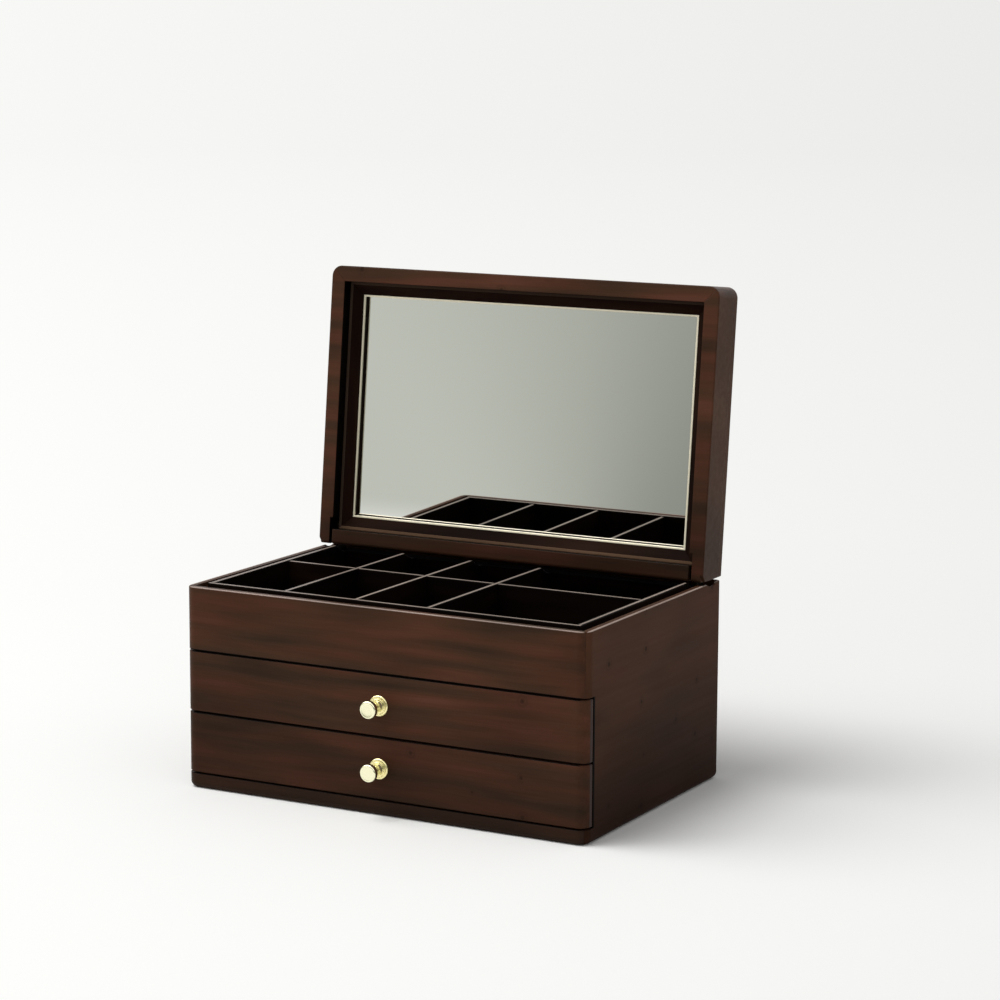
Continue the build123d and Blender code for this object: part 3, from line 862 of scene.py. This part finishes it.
studio = {
    "floorColour": "#fbfbf9",
    "floorRadius": 9.0,  # m
    "floorCorners": 96,
    "gritSpacing": 1.111,  # mm, coarser than real paint so that it shows
    "gritDepth": 0.2,  # mm
    "fade": (0.24, 0.95),  # m from the box's middle, where the floor becomes plain background
    "nearColours": ("#fefefc", "#f1f1ef"),  # the background's left and right ends
    "farColours": ("#f8f8f6", "#ebebe9"),
    "nearToFar": (2.6, 9.0),  # m from the photograph's place
    "acrossPhotograph": (0.879, 0.477, 0.0),  # level directions to its right and ahead
    "aheadInPhotograph": (-0.477, 0.879, 0.0),
    "leastAhead": 0.9,  # keeps the gradient even beside the camera and behind it
    "gradientSlope": 0.165,  # half the photograph's width against its distance
    # what the mirror shows: floor up to wallStart in front of the box, then this wall
    "wall": [(0.0, "#c9cac1"), (0.5, "#b4b5ac"), (1.0, "#94968e")],
    "wallAcross": (-0.60, -0.32),
    "wallStart": (0.40, 0.62),
    "ambient": 0.42,
    "ambientLean": 0.16,  # how much brighter the room is in front than behind
    "backGlow": {"From Min": 0.1, "From Max": 0.7, "To Max": 1.15},
    "ceilingGlow": {"From Min": 0.25, "From Max": 0.5, "To Max": 1.1},
    # place, diameter in m and power of each lamp
    "lamps": {
        "key": ((-3.27, -1.27, 3.15), 3.6, 84.0),
        "overhead": ((-1.00, -0.90, 3.75), 2.1, 63.0),
    },
    "lampTarget": (0, 0, 0.12),
}


# left to right gradient of the background, by a line from the photograph's place
def backgroundGradient(tree, line, colours):
    across, ahead = (
        addNode(
            tree, "ShaderNodeVectorMath", {0: line, 1: studio[direction]}, operation="DOT_PRODUCT"
        ).outputs["Value"]
        for direction in ("acrossPhotograph", "aheadInPhotograph")
    )
    reach = addNode(
        tree, "ShaderNodeMath", {0: ahead, 1: studio["leastAhead"]}, operation="MAXIMUM"
    )
    slope = addNode(tree, "ShaderNodeMath", {0: across, 1: reach}, operation="DIVIDE")
    share = addNode(
        tree,
        "ShaderNodeMapRange",
        {
            "Value": slope,
            "From Min": -studio["gradientSlope"],
            "From Max": studio["gradientSlope"],
        },
    )
    ramp = addNode(tree, "ShaderNodeValToRGB", {"Fac": share})
    return fillRamp(ramp, [(0.0, colours[0]), (1.0, colours[1])]).outputs[0]


# the studio wall in front of the box, brighter at its left end
def wallGradient(tree, across):
    left, right = studio["wallAcross"]
    share = addNode(
        tree,
        "ShaderNodeMapRange",
        {"Value": across, "From Min": left, "From Max": right},
        interpolation_type="SMOOTHSTEP",
    )
    ramp = addNode(tree, "ShaderNodeValToRGB", {"Fac": share})
    return fillRamp(ramp, studio["wall"]).outputs[0]


# Boards rolled with matt white paint: they take the box's shadow without any shine, and away
# from the box the camera sees them turn into the plain background.
def floorMaterial(name):
    material, tree = newMaterial(name)
    place = addNode(tree, "ShaderNodeTexCoord").outputs["Object"]
    grit = addNode(
        tree,
        "ShaderNodeTexNoise",
        {"Vector": place, "Scale": 1 / (studio["gritSpacing"] * mm), "Detail": 2.0},
    )
    gritBump = addNode(
        tree,
        "ShaderNodeBump",
        {"Height": grit, "Strength": 0.05, "Distance": studio["gritDepth"] * mm},
    )
    paint = addNode(
        tree,
        "ShaderNodeBsdfDiffuse",
        {"Color": toLinear(studio["floorColour"]), "Normal": gritBump},
    )
    rays = addNode(tree, "ShaderNodeLightPath")

    axes = addNode(tree, "ShaderNodeSeparateXYZ", {"Vector": place})
    towards = addNode(tree, "ShaderNodeVectorMath", {0: place}, operation="NORMALIZE")
    towardsAxes = addNode(tree, "ShaderNodeSeparateXYZ", {"Vector": towards})
    wallColour = wallGradient(tree, towardsAxes.outputs["X"])
    wall = addNode(tree, "ShaderNodeEmission", {"Color": wallColour})
    start, end = studio["wallStart"]
    inFront = addNode(
        tree,
        "ShaderNodeMapRange",
        {"Value": axes.outputs["Y"], "From Min": -start, "From Max": -end},
        interpolation_type="SMOOTHSTEP",
    )
    mirrored = addNode(
        tree, "ShaderNodeMath", {0: inFront, 1: rays.outputs["Is Glossy Ray"]}, operation="MULTIPLY"
    )
    withWall = addNode(tree, "ShaderNodeMixShader", {"Fac": mirrored, 1: paint, 2: wall})

    lensPlace = (photograph["place"][0], photograph["place"][1], 0.0)
    line = addNode(
        tree, "ShaderNodeVectorMath", {0: place, 1: lensPlace}, operation="SUBTRACT"
    ).outputs[0]
    nearColour = backgroundGradient(tree, line, studio["nearColours"])
    farColour = backgroundGradient(tree, line, studio["farColours"])
    lineLength = addNode(tree, "ShaderNodeVectorMath", {0: line}, operation="LENGTH")
    near, far = studio["nearToFar"]
    depth = addNode(
        tree,
        "ShaderNodeMapRange",
        {"Value": lineLength.outputs["Value"], "From Min": near, "From Max": far},
    )
    backdropColour = addNode(
        tree, "ShaderNodeMix", {0: depth, 6: nearColour, 7: farColour}, data_type="RGBA"
    ).outputs[2]
    backdrop = addNode(tree, "ShaderNodeEmission", {"Color": backdropColour})

    distance = addNode(tree, "ShaderNodeVectorMath", {0: place}, operation="LENGTH")
    start, end = studio["fade"]
    fade = addNode(
        tree,
        "ShaderNodeMapRange",
        {"Value": distance.outputs["Value"], "From Min": start, "From Max": end},
        interpolation_type="SMOOTHSTEP",
    )
    seen = addNode(
        tree, "ShaderNodeMath", {0: fade, 1: rays.outputs["Is Camera Ray"]}, operation="MULTIPLY"
    )
    blend = addNode(tree, "ShaderNodeMixShader", {"Fac": seen, 1: withWall, 2: backdrop})
    addNode(tree, "ShaderNodeOutputMaterial", {"Surface": blend})
    return material


bpy.ops.mesh.primitive_circle_add(
    vertices=studio["floorCorners"], radius=studio["floorRadius"], fill_type="NGON"
)
floor = bpy.context.object
floor.name = "floor"
floor.data.materials.append(floorMaterial("matWhiteFloor"))
print("floor laid")


# the studio's grey walls and bright far end, a little brighter in front of the box
def studioWorld(name):
    world = bpy.data.worlds.new(name)
    world.use_nodes = True
    tree = world.node_tree
    tree.nodes.clear()
    direction = addNode(tree, "ShaderNodeTexCoord").outputs["Generated"]
    axes = addNode(tree, "ShaderNodeSeparateXYZ", {"Vector": direction})
    rays = addNode(tree, "ShaderNodeLightPath")

    behind, above = (
        addNode(
            tree,
            "ShaderNodeMapRange",
            {"Value": axes.outputs[axis], **studio[glow]},
            interpolation_type="SMOOTHSTEP",
        )
        for axis, glow in (("Y", "backGlow"), ("Z", "ceilingGlow"))
    )
    glow = addNode(tree, "ShaderNodeMath", {0: behind, 1: above}, operation="MAXIMUM")
    reflected = addNode(
        tree,
        "ShaderNodeVectorMath",
        {0: wallGradient(tree, axes.outputs["X"]), 1: glow},
        operation="MAXIMUM",
    )
    mirrored = addNode(tree, "ShaderNodeBackground", {"Color": reflected, "Strength": 1.0})

    towardsFront = addNode(
        tree,
        "ShaderNodeVectorMath",
        {0: direction, 1: [-part for part in studio["aheadInPhotograph"]]},
        operation="DOT_PRODUCT",
    )
    roomLevel = addNode(
        tree,
        "ShaderNodeMapRange",
        {
            "Value": towardsFront.outputs["Value"],
            "From Min": -1.0,
            "From Max": 1.0,
            "To Min": studio["ambient"] - studio["ambientLean"],
            "To Max": studio["ambient"] + studio["ambientLean"],
        },
    )
    ambient = addNode(
        tree, "ShaderNodeBackground", {"Color": (1, 1, 1, 1), "Strength": roomLevel}
    )
    farColour = backgroundGradient(tree, direction, studio["farColours"])
    shown = addNode(tree, "ShaderNodeBackground", {"Color": farColour, "Strength": 1.0})
    withGlossy = addNode(
        tree,
        "ShaderNodeMixShader",
        {"Fac": rays.outputs["Is Glossy Ray"], 1: ambient, 2: mirrored},
    )
    withCamera = addNode(
        tree,
        "ShaderNodeMixShader",
        {"Fac": rays.outputs["Is Camera Ray"], 1: withGlossy, 2: shown},
    )
    addNode(tree, "ShaderNodeOutputWorld", {"Surface": withCamera})
    return world


bpy.context.scene.world = studioWorld("studio")

# a large soft lamp at the left and one overhead
for name, (lampPlace, diameter, power) in studio["lamps"].items():
    lamp = bpy.data.lights.new(name, "AREA")
    lamp.shape = "DISK"
    lamp.size = diameter
    lamp.energy = power
    softbox = bpy.data.objects.new(name, lamp)
    bpy.context.scene.collection.objects.link(softbox)
    softbox.location = lampPlace
    aim = Vector(studio["lampTarget"]) - softbox.location
    softbox.rotation_euler = aim.to_track_quat("-Z", "Y").to_euler()
    softbox.visible_camera = False
print("light placed")

print("scene made")
